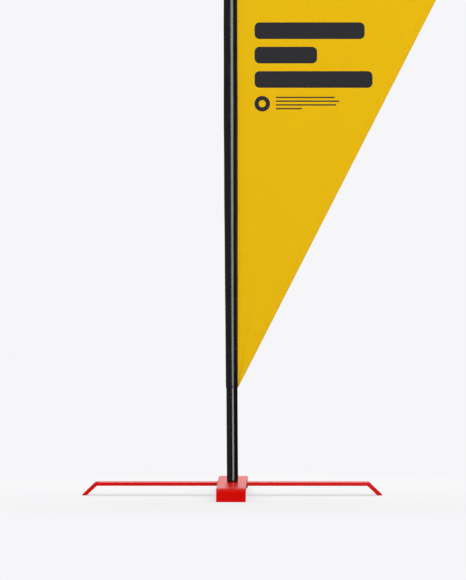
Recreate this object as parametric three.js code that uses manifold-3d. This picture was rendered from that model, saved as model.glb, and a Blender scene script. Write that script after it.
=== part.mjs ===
// Teardrop flag on a four-legged steel cross base.
// Millimetres, +Z up. The spindle stands on the Z axis, the floor is z = 0, -Y is the flag's front,
// and the sail reaches out to +X.

import * as THREE from 'three';
import { mergeVertices } from 'three/addons/utils/BufferGeometryUtils.js';
import Module from 'manifold-3d';

const wasm = await Module();
wasm.setup();

// ---- driving dimensions -------------------------------------------------------------------------

const fit = 0.3; // clearance between pieces that touch

// cross base: flat bars in one plane, their ends bent down and cut level with the floor
const barWidth = 70;
const barThickness = 8;
const legReach = 360;
const legTop = 31;
const footRun = 32.4; // how far the sloping foot carries out past the bend
const sideBend = 14; // radius of the top face at the side feet's bends
const longBarBend = 50; // the front foot's shading shows a softer one
const spindleHoleRadius = 6.3;

// spindle, clamped through the crossing by a nut
const spindleRadius = 6.5;
const threadRadius = 5.9;
const spindleFlange = { radius: 10.4, height: 2.8 };
const spindleTop = 145;
const spindleBottom = 4.5;
const nutAcrossFlats = 19;
const nutHeight = 10.3;
const washer = { radius: 12, height: 2.3 };
const springWasher = { radius: 10.2, height: 2.5, splitAngle: 0.2 };

// rotator, which turns on the spindle and carries the pole
const rotatorRadius = 10.2;
const rotatorBore = 8;
const bush = { bore: 6.8, radius: 7.7, length: 26, flangeRadius: 9.9, flangeHeight: 1.5 };
const thrustWasherHeight = 1.5;
const ballRadius = 4;
const capHeight = 15;

// pole: its centre line leans a little away from the sail, then bends over towards its tip
const poleFoot = 31.4;
const poleFootX = 0.8;
const footLean = 0.0066; // radians
const straightAt = 1632; // arc length where the lean alone would have gone
const bendStart = 1250;
const bendPower = 1.6;
const tipHeading = THREE.MathUtils.degToRad(150);
const poleLength = 2838;
const lowerTube = { from: 8, to: 720, radius: 13.45, bore: 11.45 };
const middleTube = { from: 650, to: 1250, radius: 11.1, bore: 9.2 };
const upperTube = { from: 1170, to: 2000, radius: 8.8, tipRadius: 7.4, bore: 6.2 };
const tipRod = { from: 1930, radius: 5, tipRadius: 2.6 };
const ferruleLength = 14;
const footRing = { height: 7.7, cornerHeight: 2.4, cornerDepth: 1.5 };
const stopPlug = { height: 48, radius: 11.05 };
const tipCap = { radius: 5, length: 20 };

// sail and sleeve
const sleeveFrom = 225;
const sleeveWall = 0.9;
const sleeveHalfWidths = [[225, 14.7], [340, 14.8], [600, 16], [870, 16.9], [1160, 16.3], [poleLength, 10]];
const sleeveHalfDepths = [[225, 14.7], [750, 14.8], [1160, 12.9], [poleLength, 8.5]];
const tipPocketLength = 62;
const tipPocketWall = 1;
const tipPocketProud = 2.1;
const sailThickness = 1;
const patchThickness = 0.8;
const hemWidth = 15;
const tackPatchLength = 150;
const clewPatchLength = 130;

// tensioner behind the pole: hook, elastic loop, ring and webbing
const hook = { width: 14, gauge: 2, bottom: 164, top: 206, reach: 12, drop: 10 };
const rivet = { radius: 1.9, headRadius: 3.8, headHeight: 1.4, length: 11, heights: [172, 188] };
const rivetHoleRadius = 2.2;
const ring = { halfWidth: 9.8, wire: 1.5, y: 20.2, barZ: 245, bottomZ: 232 };
const cordRadius = 1.75;
const webbing = { width: 12, thickness: 1.2, top: 312, joined: 262 };

// ---- materials ----------------------------------------------------------------------------------

const finish = (color, roughness, metalness) => new THREE.MeshStandardMaterial({ color, roughness, metalness });
const redPowderCoat = finish(0xcb0d0c, 0.3, 0);
const zincSteel = finish(0xb9bcc0, 0.35, 1);
const naturalNylon = finish(0xe4e0d2, 0.5, 0);
const greyAluminium = finish(0xa9acb0, 0.3, 1);
const blackPole = finish(0x161717, 0.2, 0);
const blackFibreglass = finish(0x1a1a1a, 0.3, 0);
const blackPlastic = finish(0x121414, 0.35, 0);
const blackCloth = finish(0x191a1a, 0.4, 0);
const yellowCloth = finish(0xe7ba14, 0.7, 0);
const blackWebbing = finish(0x1c1c1c, 0.8, 0);

// ---- assembly helpers ---------------------------------------------------------------------------

const flag = new THREE.Group();
const base = new THREE.Group();
const rotator = new THREE.Group();
const pole = new THREE.Group();
flag.add(base, rotator, pole);

function addPiece(group, name, geometry, material) {
  const mesh = new THREE.Mesh(geometry, material);
  mesh.name = name;
  group.add(mesh);
  return mesh;
}

// a turned piece about the Z axis, from a profile of [radius, height] points
function turned(profile, segments = 24) {
  const points = profile.map(([radius, height]) => new THREE.Vector2(radius, height));
  return new THREE.LatheGeometry(points, segments).rotateX(Math.PI / 2);
}

// a turned ring with a bore, between two heights
function turnedRing(bore, radius, bottom, top, segments = 24) {
  const profile = [[bore, bottom], [radius, bottom], [radius, top], [bore, top], [bore, bottom]];
  return turned(profile, segments);
}

function toSolid(geometry) {
  const bare = geometry.clone();
  bare.deleteAttribute('normal');
  bare.deleteAttribute('uv');
  const merged = mergeVertices(bare, 1e-4);
  const vertProperties = new Float32Array(merged.attributes.position.array);
  const triVerts = new Uint32Array(merged.index.array);
  return new wasm.Manifold(new wasm.Mesh({ numProp: 3, vertProperties, triVerts }));
}

// the geometry with each of the cutters taken away from it
function cutBy(geometry, cutters) {
  let solid = toSolid(geometry);
  for (const cutter of cutters) {
    solid = solid.subtract(toSolid(cutter));
  }
  const { vertProperties, triVerts } = solid.getMesh();
  const result = new THREE.BufferGeometry();
  result.setAttribute('position', new THREE.BufferAttribute(new Float32Array(vertProperties), 3));
  result.setIndex(new THREE.BufferAttribute(new Uint32Array(triVerts), 1));
  result.computeVertexNormals();
  return result;
}

// an outline drawn in the YZ plane, extruded along X about x = 0
function acrossX(shape, width, curveSegments = 4) {
  const geometry = new THREE.ExtrudeGeometry(shape, { depth: width, bevelEnabled: false, curveSegments });
  geometry.translate(0, 0, -width / 2);
  geometry.rotateX(Math.PI / 2);
  return geometry.rotateZ(Math.PI / 2);
}

// an outline drawn in the XZ plane, its thickness lying between two Y values
function upright(shape, yFrom, yTo) {
  const geometry = new THREE.ExtrudeGeometry(shape, { depth: yTo - yFrom, bevelEnabled: false });
  geometry.rotateX(Math.PI / 2);
  return geometry.translate(0, yTo, 0);
}

// ---- cross base ---------------------------------------------------------------------------------

// a leg's outline: out along the top, round the bend, down the foot, back along the underside
function traceLeg(shape, inner, bend) {
  const topBend = legReach - footRun;
  const underside = legTop - barThickness;
  const slopeLength = Math.hypot(footRun, legTop);
  const down = new THREE.Vector2(footRun, -legTop).divideScalar(slopeLength);
  const footCut = barThickness * slopeLength / legTop;
  const underBend = legReach - footCut - underside * footRun / legTop;
  const halfTurn = Math.atan2(legTop, footRun) / 2;
  const ease = bend * Math.tan(halfTurn);
  const underEase = (bend - barThickness) * Math.tan(halfTurn);
  shape.lineTo(topBend - ease, legTop);
  shape.quadraticCurveTo(topBend, legTop, topBend + ease * down.x, legTop + ease * down.y);
  shape.lineTo(legReach, 0);
  shape.lineTo(legReach - footCut, 0);
  shape.lineTo(underBend + underEase * down.x, underside + underEase * down.y);
  shape.quadraticCurveTo(underBend, underside, underBend - underEase, underside);
  shape.lineTo(inner, underside);
}

function frontRearLegBar() {
  const shape = new THREE.Shape();
  shape.moveTo(0, legTop);
  traceLeg(shape, 0, longBarBend);
  const half = shape.getPoints(6);
  const mirrored = half.slice(1, -1).reverse().map((point) => new THREE.Vector2(-point.x, point.y));
  const outline = new THREE.Shape([...half, ...mirrored]);
  const hole = new THREE.CylinderGeometry(spindleHoleRadius, spindleHoleRadius, legTop, 24);
  hole.rotateX(Math.PI / 2).translate(0, 0, legTop);
  return cutBy(acrossX(outline, barWidth), [hole]);
}

function sideLegBar(side) {
  const inner = barWidth / 2 + fit;
  const shape = new THREE.Shape();
  shape.moveTo(inner, legTop);
  traceLeg(shape, inner, sideBend);
  const outline = new THREE.Shape(shape.getPoints(3));
  return acrossX(outline, barWidth).rotateZ(side > 0 ? -Math.PI / 2 : Math.PI / 2);
}

addPiece(base, 'front_rear_leg_bar', frontRearLegBar(), redPowderCoat);
addPiece(base, 'left_leg_bar', sideLegBar(-1), redPowderCoat);
addPiece(base, 'right_leg_bar', sideLegBar(1), redPowderCoat);

const flangeBottom = legTop + fit;
const flangeTop = flangeBottom + spindleFlange.height;
const ballSeatRadius = 3.6;
const ballSeatDepth = 1.8;
addPiece(base, 'spindle', turned([
  [0, spindleBottom],
  [threadRadius - 1, spindleBottom],
  [threadRadius, spindleBottom + 1],
  [threadRadius, flangeBottom],
  [spindleFlange.radius, flangeBottom],
  [spindleFlange.radius, flangeTop],
  [spindleRadius, flangeTop],
  [spindleRadius, spindleTop - 1],
  [spindleRadius - 1, spindleTop],
  [ballSeatRadius, spindleTop],
  [0, spindleTop - ballSeatDepth],
]), zincSteel);

const washerTop = legTop - barThickness - fit;
const washerBottom = washerTop - washer.height;
addPiece(base, 'spindle_washer', turnedRing(6.4, washer.radius, washerBottom, washerTop), zincSteel);

const springWasherTop = washerBottom - fit;
const springWasherBottom = springWasherTop - springWasher.height;
const splitRing = new THREE.Shape();
splitRing.absarc(0, 0, springWasher.radius, 0, 2 * Math.PI - springWasher.splitAngle, false);
splitRing.absarc(0, 0, 6.4, 2 * Math.PI - springWasher.splitAngle, 0, true);
const springWasherShape = new THREE.ExtrudeGeometry(splitRing, {
  depth: springWasher.height,
  bevelEnabled: false,
  curveSegments: 24,
});
springWasherShape.translate(0, 0, springWasherBottom);
addPiece(base, 'spindle_spring_washer', springWasherShape, zincSteel);

const nutTop = springWasherBottom - fit;
const nutShape = new THREE.CylinderGeometry(nutAcrossFlats / Math.sqrt(3), nutAcrossFlats / Math.sqrt(3), nutHeight, 6);
nutShape.rotateX(Math.PI / 2).translate(0, 0, nutTop - nutHeight / 2);
const nutBore = new THREE.CylinderGeometry(threadRadius + fit, threadRadius + fit, 2 * nutHeight, 24);
nutBore.rotateX(Math.PI / 2).translate(0, 0, nutTop - nutHeight / 2);
addPiece(base, 'spindle_nut', cutBy(nutShape, [nutBore]), zincSteel);

// ---- rotator ------------------------------------------------------------------------------------

const thrustBottom = flangeTop + fit;
const thrustTop = thrustBottom + thrustWasherHeight;
addPiece(rotator, 'thrust_washer', turnedRing(6.9, rotatorRadius - 0.1, thrustBottom, thrustTop), naturalNylon);

// a flanged bush: the flange end lies at `end`, and the body runs from it along `direction`
function flangedBush(end, direction) {
  const flangeInside = end + direction * bush.flangeHeight;
  const tail = end + direction * bush.length;
  const profile = [
    [bush.bore, end],
    [bush.flangeRadius, end],
    [bush.flangeRadius, flangeInside],
    [bush.radius, flangeInside],
    [bush.radius, tail],
    [bush.bore, tail],
    [bush.bore, end],
  ];
  return turned(direction > 0 ? profile : profile.reverse());
}

const lowerBushEnd = thrustTop + fit;
const sleeveBottom = lowerBushEnd + bush.flangeHeight + fit;
const capBottom = spindleTop - 0.9;
const upperBushEnd = capBottom - fit;
const sleeveTop = upperBushEnd - bush.flangeHeight - fit;
addPiece(rotator, 'rotator_lower_bush', flangedBush(lowerBushEnd, 1), naturalNylon);
addPiece(rotator, 'rotator_upper_bush', flangedBush(upperBushEnd, -1), naturalNylon);
const rotatorTube = turnedRing(rotatorBore, rotatorRadius, sleeveBottom, sleeveTop);
addPiece(rotator, 'rotator_sleeve', rotatorTube, greyAluminium);

const ballCentre = spindleTop + 3;
const pivotBall = new THREE.SphereGeometry(ballRadius, 16, 10).rotateX(Math.PI / 2);
pivotBall.translate(0, 0, ballCentre);
addPiece(rotator, 'pivot_ball', pivotBall, zincSteel);

const capTop = capBottom + capHeight;
addPiece(rotator, 'rotator_cap', turned([
  [0, ballCentre + 5.8],
  [6, ballCentre + 0.4],
  [7.5, ballCentre + 0.4],
  [7.5, capBottom],
  [rotatorRadius, capBottom],
  [rotatorRadius, capTop - 2],
  [rotatorRadius - 2, capTop],
  [0, capTop],
]), naturalNylon);

// ---- pole centre line ---------------------------------------------------------------------------

function headingAt(s) {
  const lean = -footLean * (1 - s / straightAt);
  const along = Math.min(Math.max((s - bendStart) / (poleLength - bendStart), 0), 1);
  return lean + tipHeading * along ** bendPower;
}

const traceStep = 5;
const trace = [{ x: poleFootX, z: poleFoot }];
for (let s = 0; s < poleLength + 20; s += traceStep) {
  const last = trace[trace.length - 1];
  const heading = headingAt(s + traceStep / 2);
  trace.push({ x: last.x + traceStep * Math.sin(heading), z: last.z + traceStep * Math.cos(heading) });
}

// the centre line's point and heading at an arc length from the foot
function poleAt(s) {
  const index = Math.floor(s / traceStep);
  const part = s / traceStep - index;
  const [low, high] = [trace[index], trace[index + 1]];
  return {
    x: low.x + part * (high.x - low.x),
    z: low.z + part * (high.z - low.z),
    heading: headingAt(s),
  };
}

// the point at `across` to the sail's side of the centre line
function besidePole(s, across) {
  const { x, z, heading } = poleAt(s);
  return new THREE.Vector2(x + across * Math.cos(heading), z - across * Math.sin(heading));
}

function interpolate(table, s) {
  const next = table.findIndex(([at]) => at >= s);
  if (next <= 0) {
    return next < 0 ? table[table.length - 1][1] : table[0][1];
  }
  const [[s0, v0], [s1, v1]] = [table[next - 1], table[next]];
  return v0 + (v1 - v0) * (s - s0) / (s1 - s0);
}

// the sail ends just short of the pocket that covers the pole's tip, and the tip wears a cap
const pocketFrom = poleLength - tipPocketLength;
const sailTo = pocketFrom - 2;
const tipCapFrom = poleLength - tipCap.length + 4;

// the arc lengths where swept pieces have a ring: far apart where it's straight, close in the bend
const ringPlaces = [];
for (let s = 0; s < bendStart; s += 250) {
  ringPlaces.push(s);
}
for (let s = bendStart; s < sailTo; s += 50) {
  ringPlaces.push(s);
}
ringPlaces.push(sailTo, tipCapFrom, poleLength);

// rings from one arc length to another, each { s, across, deep }
function ringsAlong(from, to, across, deep = across) {
  const low = Math.min(from, to);
  const high = Math.max(from, to);
  const places = [low, ...ringPlaces.filter((s) => s > low + 5 && s < high - 5), high];
  const rings = places.map((s) => ({ s, across: across(s), deep: deep(s) }));
  return from < to ? rings : rings.reverse();
}

// a closed solid through a run of rings; a hollow one runs up its outside and down its bore
function sweep(rings, sides, hollow) {
  const positions = [];
  for (const { s, across, deep } of rings) {
    for (let i = 0; i < sides; i++) {
      const turn = (2 * Math.PI * i) / sides;
      const point = besidePole(s, across * Math.cos(turn));
      positions.push(point.x, deep * Math.sin(turn), point.y);
    }
  }
  const faces = [];
  const spans = hollow ? rings.length : rings.length - 1;
  for (let k = 0; k < spans; k++) {
    const next = (k + 1) % rings.length;
    for (let i = 0; i < sides; i++) {
      const j = (i + 1) % sides;
      const [p, q, r, t] = [k * sides + i, k * sides + j, next * sides + j, next * sides + i];
      if (rings[k].across > 0) {
        faces.push(p, q, r);
      }
      if (rings[next].across > 0) {
        faces.push(p, r, t);
      }
    }
  }
  const geometry = new THREE.BufferGeometry();
  geometry.setAttribute('position', new THREE.Float32BufferAttribute(positions, 3));
  geometry.setIndex(faces);
  geometry.computeVertexNormals();
  return geometry;
}

const constant = (value) => () => value;
const taper = (from, to, start, end) => (s) => start + (end - start) * (s - from) / (to - from);

function sweptTube(from, to, outer, bore, sides) {
  return sweep([...ringsAlong(from, to, outer), ...ringsAlong(to, from, bore)], sides, true);
}

function sweptRod(from, to, outer, sides) {
  const ends = [{ s: from, across: 0, deep: 0 }, { s: to, across: 0, deep: 0 }];
  return sweep([ends[0], ...ringsAlong(from, to, outer), ends[1]], sides, false);
}

// a short cylinder pointing along +Y, for rivets and their holes
function alongY(radius, yFrom, yTo, x, z, segments = 12) {
  const geometry = new THREE.CylinderGeometry(radius, radius, yTo - yFrom, segments);
  return geometry.translate(x, (yFrom + yTo) / 2, z);
}

// ---- pole ---------------------------------------------------------------------------------------

const rivetX = (z) => poleAt(z - poleFoot).x;
const rivetTail = lowerTube.radius + fit + hook.gauge + fit - rivet.length;
const rivetHoles = rivet.heights.map((z) => alongY(rivetHoleRadius, rivetTail - fit, 40, rivetX(z), z));

const footCorner = [0, 30, 60, 90].map((degrees) => {
  const turn = THREE.MathUtils.degToRad(degrees);
  return {
    s: footRing.cornerHeight * (1 - Math.cos(turn)),
    across: lowerTube.radius - footRing.cornerDepth * (1 - Math.sin(turn)),
  };
});
const roundedFoot = [
  ...footCorner,
  { s: footRing.height, across: lowerTube.radius },
  { s: footRing.height, across: lowerTube.bore },
  { s: 0, across: lowerTube.bore },
].map(({ s, across }) => ({ s, across, deep: across }));
addPiece(pole, 'pole_foot_ring', sweep(roundedFoot, 24, true), blackPlastic);

const tubeBlank = sweptTube(lowerTube.from, lowerTube.to, constant(lowerTube.radius), constant(lowerTube.bore), 24);
addPiece(pole, 'lower_pole_tube', cutBy(tubeBlank, rivetHoles), blackPole);

const plugFrom = capTop + 0.4 - poleFoot;
const plugBlank = sweptRod(plugFrom, plugFrom + stopPlug.height, constant(stopPlug.radius), 24);
addPiece(pole, 'pole_stop_plug', cutBy(plugBlank, rivetHoles), naturalNylon);

addPiece(pole, 'middle_pole_tube', sweptTube(
  middleTube.from,
  middleTube.to,
  constant(middleTube.radius),
  constant(middleTube.bore),
  20,
), blackPole);

addPiece(pole, 'upper_pole_tube', sweptTube(
  upperTube.from,
  upperTube.to,
  taper(upperTube.from, upperTube.to, upperTube.radius, upperTube.tipRadius),
  constant(upperTube.bore),
  16,
), blackFibreglass);

addPiece(pole, 'tip_rod', sweptRod(
  tipRod.from,
  poleLength,
  taper(tipRod.from, poleLength, tipRod.radius, tipRod.tipRadius),
  12,
), blackFibreglass);

// a collar seated on the mouth of the thicker tube, round the thinner one that goes into it
const ferrules = [
  ['lower_ferrule', lowerTube.to, lowerTube.radius, middleTube.radius],
  ['middle_ferrule', middleTube.to, middleTube.radius, upperTube.radius],
  ['upper_ferrule', upperTube.to, upperTube.tipRadius, tipRod.radius],
];
for (const [name, mouth, outer, inner] of ferrules) {
  const from = mouth + fit;
  const to = from + ferruleLength;
  addPiece(pole, name, sweptTube(from, to, constant(outer), constant(inner + fit + 0.1), 20), blackPlastic);
}

addPiece(pole, 'tip_cap', sweep([
  { s: tipCapFrom, across: tipCap.radius - 1, deep: tipCap.radius - 1 },
  { s: tipCapFrom + 2, across: tipCap.radius, deep: tipCap.radius },
  { s: poleLength + 1, across: tipCap.radius, deep: tipCap.radius },
  { s: poleLength + 4, across: tipCap.radius - 2.5, deep: tipCap.radius - 2.5 },
  { s: poleLength + 4, across: 0, deep: 0 },
  { s: poleLength + 0.8, across: 0, deep: 0 },
  { s: poleLength + 0.8, across: tipRod.tipRadius + 0.5, deep: tipRod.tipRadius + 0.5 },
  { s: tipCapFrom, across: tipRod.tipRadius + 0.5, deep: tipRod.tipRadius + 0.5 },
], 12, true), blackPlastic);

// ---- sleeve and sail ----------------------------------------------------------------------------

const sleeveTo = poleLength + 7;
const sleeveWidth = (s) => interpolate(sleeveHalfWidths, s);
const sleeveDepth = (s) => interpolate(sleeveHalfDepths, s);

// a cloth tube round the pole, open at its lower end and closed beyond the pole's tip
function clothTube(from, to, proud, wall, sides) {
  const outer = ringsAlong(from, to, (s) => sleeveWidth(s) + proud, (s) => sleeveDepth(s) + proud);
  const inner = ringsAlong(to - wall, from, (s) => sleeveWidth(s) + proud - wall, (s) => sleeveDepth(s) + proud - wall);
  const closings = [{ s: to, across: 0, deep: 0 }, { s: to - wall, across: 0, deep: 0 }];
  return sweep([...outer, ...closings, ...inner], sides, true);
}

addPiece(pole, 'pole_sleeve', clothTube(sleeveFrom, sleeveTo, 0, sleeveWall, 20), blackCloth);

addPiece(pole, 'tip_pocket', clothTube(pocketFrom, sleeveTo + 2.4, tipPocketProud, tipPocketWall, 20), blackWebbing);

const seamGap = fit;
const sailFrom = sleeveFrom + 0.4;
const tack = besidePole(sailFrom, sleeveWidth(sailFrom) + seamGap);
const clew = besidePole(sailTo, sleeveWidth(sailTo) + seamGap);
const seam = ringsAlong(sailFrom, sailTo, sleeveWidth);
const sailOutline = new THREE.Shape(seam.map(({ s, across }) => besidePole(s, across + seamGap)));
addPiece(pole, 'sail_panel', upright(sailOutline, -sailThickness / 2, sailThickness / 2), yellowCloth);

const freeEdge = clew.clone().sub(tack);
const edgeLength = freeEdge.length();
const edgeDirection = freeEdge.clone().normalize();
const intoSail = new THREE.Vector2(-edgeDirection.y, edgeDirection.x);
const onEdge = (distance, inwards) => tack.clone()
  .addScaledVector(edgeDirection, distance)
  .addScaledVector(intoSail, inwards);

const rearFace = sailThickness / 2 + fit;
const hemShape = new THREE.Shape([
  onEdge(tackPatchLength, 0.5),
  onEdge(edgeLength - clewPatchLength, 0.5),
  onEdge(edgeLength - clewPatchLength, hemWidth),
  onEdge(tackPatchLength, hemWidth),
]);
addPiece(pole, 'free_edge_hem', upright(hemShape, rearFace, rearFace + patchThickness), yellowCloth);

// corner reinforcements lie on the sail's rear face, between the seam and the free edge
const besideSeam = (s) => besidePole(s, sleeveWidth(s) + seamGap + 0.5);
const tackPatch = new THREE.Shape([
  onEdge(6, 0.5),
  onEdge(tackPatchLength - 1, 0.5),
  besideSeam(sailFrom + tackPatchLength),
  besideSeam(sailFrom + 8),
]);
addPiece(pole, 'tack_patch', upright(tackPatch, rearFace, rearFace + patchThickness), yellowCloth);

const clewSeamPlaces = [sailTo - 4, sailTo - 40, sailTo - 80, sailTo - clewPatchLength];
const clewPatch = new THREE.Shape([
  onEdge(edgeLength - clewPatchLength + 1, 0.5),
  onEdge(edgeLength - 4, 0.5),
  ...clewSeamPlaces.map(besideSeam),
]);
addPiece(pole, 'clew_patch', upright(clewPatch, rearFace, rearFace + patchThickness), yellowCloth);

// ---- tensioner ----------------------------------------------------------------------------------

const tensionerX = rivetX(hook.top);
const hookBack = lowerTube.radius + fit;
const hookFace = hookBack + hook.gauge;
const hookOut = hookBack + hook.reach;
const hookOutline = new THREE.Shape([
  new THREE.Vector2(hookBack, hook.bottom),
  new THREE.Vector2(hookFace, hook.bottom),
  new THREE.Vector2(hookFace, hook.top - hook.gauge),
  new THREE.Vector2(hookOut - hook.gauge, hook.top - hook.gauge),
  new THREE.Vector2(hookOut - hook.gauge, hook.top - hook.drop),
  new THREE.Vector2(hookOut, hook.top - hook.drop),
  new THREE.Vector2(hookOut, hook.top),
  new THREE.Vector2(hookBack, hook.top),
]);
const hookBlank = acrossX(hookOutline, hook.width).translate(tensionerX, 0, 0);
addPiece(pole, 'anchor_hook', cutBy(hookBlank, rivetHoles), zincSteel);

const rivetNames = ['hook_lower_rivet', 'hook_upper_rivet'];
rivet.heights.forEach((z, index) => {
  const headBase = hookFace + fit;
  const profile = [
    [0, rivetTail],
    [rivet.radius, rivetTail],
    [rivet.radius, headBase],
    [rivet.headRadius, headBase],
    [rivet.headRadius - 0.8, headBase + 0.8 * rivet.headHeight],
    [0, headBase + rivet.headHeight],
  ];
  const geometry = turned(profile, 12).rotateX(-Math.PI / 2).translate(rivetX(z), 0, z);
  addPiece(pole, rivetNames[index], geometry, zincSteel);
});

// a smooth closed wire through [x, y, z] points, x counted from the tensioner's middle
function closedWire(points, radius, steps) {
  const places = points.map(([x, y, z]) => new THREE.Vector3(x + tensionerX, y, z));
  const path = new THREE.CatmullRomCurve3(places, true, 'centripetal');
  return new THREE.TubeGeometry(path, steps, radius, 8, true);
}

// a D-shaped ring: a straight bar on top for the webbing, and a round bow below for the elastic
const halfRing = [
  [0.62, ring.barZ],
  [0.88, ring.barZ - 0.8],
  [1, ring.barZ - 3.2],
  [0.92, ring.barZ - 7],
  [0.61, ring.barZ - 11],
].map(([share, z]) => [share * ring.halfWidth, ring.y, z]);
const otherHalf = halfRing.map(([x, y, z]) => [-x, y, z]).reverse();
const ringPoints = [[0, ring.y, ring.barZ], ...halfRing, [0, ring.y, ring.bottomZ], ...otherHalf];
addPiece(pole, 'tension_ring', closedWire(ringPoints, ring.wire, 36), zincSteel);

// the elastic loop hooks under the anchor, rises on both sides and passes over the ring's lower bar
const loopLow = hook.top - hook.gauge - fit - cordRadius;
const loopSide = hook.width / 2 + fit + 0.3 + cordRadius;
const loopY = (hookFace + hookOut - hook.gauge) / 2;
const ringLow = ring.bottomZ;
const overBar = ring.wire + cordRadius + 0.5;
const loopPoints = [
  [-0.5 * loopSide, loopY, loopLow],
  [0.5 * loopSide, loopY, loopLow],
  [loopSide, loopY, loopLow + 1.5],
  [loopSide, loopY, hook.top + 4],
  [1.6, ring.y + overBar, ringLow - 2],
  [0.6, ring.y + 0.8 * overBar, ringLow + 0.75 * overBar],
  [0, ring.y, ringLow + overBar + 0.3],
  [-0.6, ring.y - 0.8 * overBar, ringLow + 0.75 * overBar],
  [-1.6, ring.y - overBar, ringLow - 2],
  [-loopSide, loopY, hook.top + 4],
  [-loopSide, loopY, loopLow + 1.5],
];
addPiece(pole, 'elastic_loop', closedWire(loopPoints, cordRadius, 48), blackWebbing);

// webbing folded round the ring's upper bar, its two legs sewn to the back of the sleeve
const foldZ = ring.barZ;
const foldInner = ring.wire + fit + 0.2;
const foldOuter = foldInner + webbing.thickness;
const frontLeg = ring.y - foldOuter;
const rearLeg = frontLeg + 2 * webbing.thickness + fit;
const strap = new THREE.Shape();
strap.moveTo(frontLeg, webbing.top);
strap.lineTo(frontLeg, foldZ);
strap.absarc(ring.y, foldZ, foldOuter, Math.PI, 2 * Math.PI, false);
strap.lineTo(rearLeg, webbing.joined);
strap.lineTo(rearLeg, webbing.top);
const strapSlot = new THREE.Path();
strapSlot.moveTo(frontLeg + webbing.thickness, foldZ);
strapSlot.absarc(ring.y, foldZ, foldInner, Math.PI, 2 * Math.PI, false);
strapSlot.lineTo(rearLeg - webbing.thickness, webbing.joined - 2);
strapSlot.lineTo(frontLeg + webbing.thickness, webbing.joined - 2);
strap.holes.push(strapSlot);
addPiece(pole, 'tension_webbing', acrossX(strap, webbing.width, 6).translate(tensionerX, 0, 0), blackWebbing);

export default flag;
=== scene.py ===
import math

import bpy
import numpy as np
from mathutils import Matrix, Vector
from mathutils.bvhtree import BVHTree


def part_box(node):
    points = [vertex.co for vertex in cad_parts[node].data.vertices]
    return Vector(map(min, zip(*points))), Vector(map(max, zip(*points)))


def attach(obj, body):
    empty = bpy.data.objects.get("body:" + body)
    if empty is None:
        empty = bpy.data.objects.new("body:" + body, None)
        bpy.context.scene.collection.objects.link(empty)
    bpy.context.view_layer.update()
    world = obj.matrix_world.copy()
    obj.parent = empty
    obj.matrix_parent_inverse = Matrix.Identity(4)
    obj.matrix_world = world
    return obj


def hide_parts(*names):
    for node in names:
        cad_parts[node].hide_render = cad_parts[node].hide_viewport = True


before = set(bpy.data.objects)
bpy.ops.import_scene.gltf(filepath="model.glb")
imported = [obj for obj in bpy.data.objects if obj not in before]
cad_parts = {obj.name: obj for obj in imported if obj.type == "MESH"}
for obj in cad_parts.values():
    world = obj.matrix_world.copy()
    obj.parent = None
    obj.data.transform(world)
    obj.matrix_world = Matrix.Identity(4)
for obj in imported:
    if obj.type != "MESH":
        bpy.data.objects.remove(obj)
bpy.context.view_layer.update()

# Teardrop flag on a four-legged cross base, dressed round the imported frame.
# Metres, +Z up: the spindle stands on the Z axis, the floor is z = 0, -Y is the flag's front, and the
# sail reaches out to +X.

TURN = 2 * math.pi

# ---- camera ----

CAMERA_AT = Vector((0.17, -20.4, 0.995))
AIM_AT = Vector((0.002, 0.0, 0.4919))
LENS_MM = 527.75


def add_to_scene(thing):
    bpy.context.scene.collection.objects.link(thing)
    return thing


def add_camera():
    data = bpy.data.cameras.new("camera")
    data.lens = LENS_MM
    data.clip_end = 100.0
    camera = add_to_scene(bpy.data.objects.new("camera", data))
    camera.location = CAMERA_AT
    camera.rotation_euler = (AIM_AT - CAMERA_AT).to_track_quat("-Z", "Y").to_euler()
    bpy.context.scene.camera = camera


add_camera()

# ---- dimensions, from the frame where a node's box gives them ----

FIT = 0.0003  # clearance between pieces that touch
POLE_BODY = "pole_and_sail"

BAR_LOW, BAR_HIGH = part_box("front_rear_leg_bar")
BAR_WIDTH = BAR_HIGH.x - BAR_LOW.x
BAR_THICKNESS = 0.008
LEG_REACH = BAR_HIGH.y
LEG_TOP = BAR_HIGH.z
FOOT_RUN = 0.0324  # how far the sloping foot carries out past the bend
SPINDLE_HOLE_RADIUS = 0.0063

# the pole's centre line leans a little away from the sail, then bends over towards its tip
POLE_FOOT_X = 0.0008
POLE_FOOT_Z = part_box("pole_foot_ring")[0].z
FOOT_LEAN = 0.0066
STRAIGHT_AT = 1.632
BEND_START = 1.25
BEND_POWER = 1.6
TIP_HEADING = math.radians(150)
POLE_LENGTH = 2.838
TRACE_STEP = 0.005

LOWER_TUBE = {"start": 0.008, "end": 0.72, "radius": 0.01345, "bore": 0.01145}
MIDDLE_TUBE = {"start": 0.65, "end": 1.25, "radius": 0.0111, "bore": 0.0092}
UPPER_TUBE = {"start": 1.17, "end": 2.0, "radius": 0.0088, "end_radius": 0.0074, "bore": 0.0062}
TIP_ROD = {"start": 1.93, "end": POLE_LENGTH, "radius": 0.005, "end_radius": 0.0026}
FERRULE_LENGTH = 0.014
PLUG_RADIUS = 0.01105

SLEEVE_START = 0.225
SLEEVE_END = POLE_LENGTH + 0.007
SLEEVE_WALL = 0.0006
# the sleeve's half width and half depth: places along the pole, then the size at each
SLEEVE_HALF_WIDTH = [
    [SLEEVE_START, 0.25, 0.34, 0.6, 0.87, 1.16, POLE_LENGTH],
    [0.0142, 0.0146, 0.0148, 0.016, 0.0169, 0.0163, 0.01],
]
SLEEVE_HALF_DEPTH = [
    [SLEEVE_START, 0.25, 0.75, 1.16, POLE_LENGTH],
    [0.0142, 0.0146, 0.0148, 0.0129, 0.0085],
]
POCKET_START = POLE_LENGTH - 0.062

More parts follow.
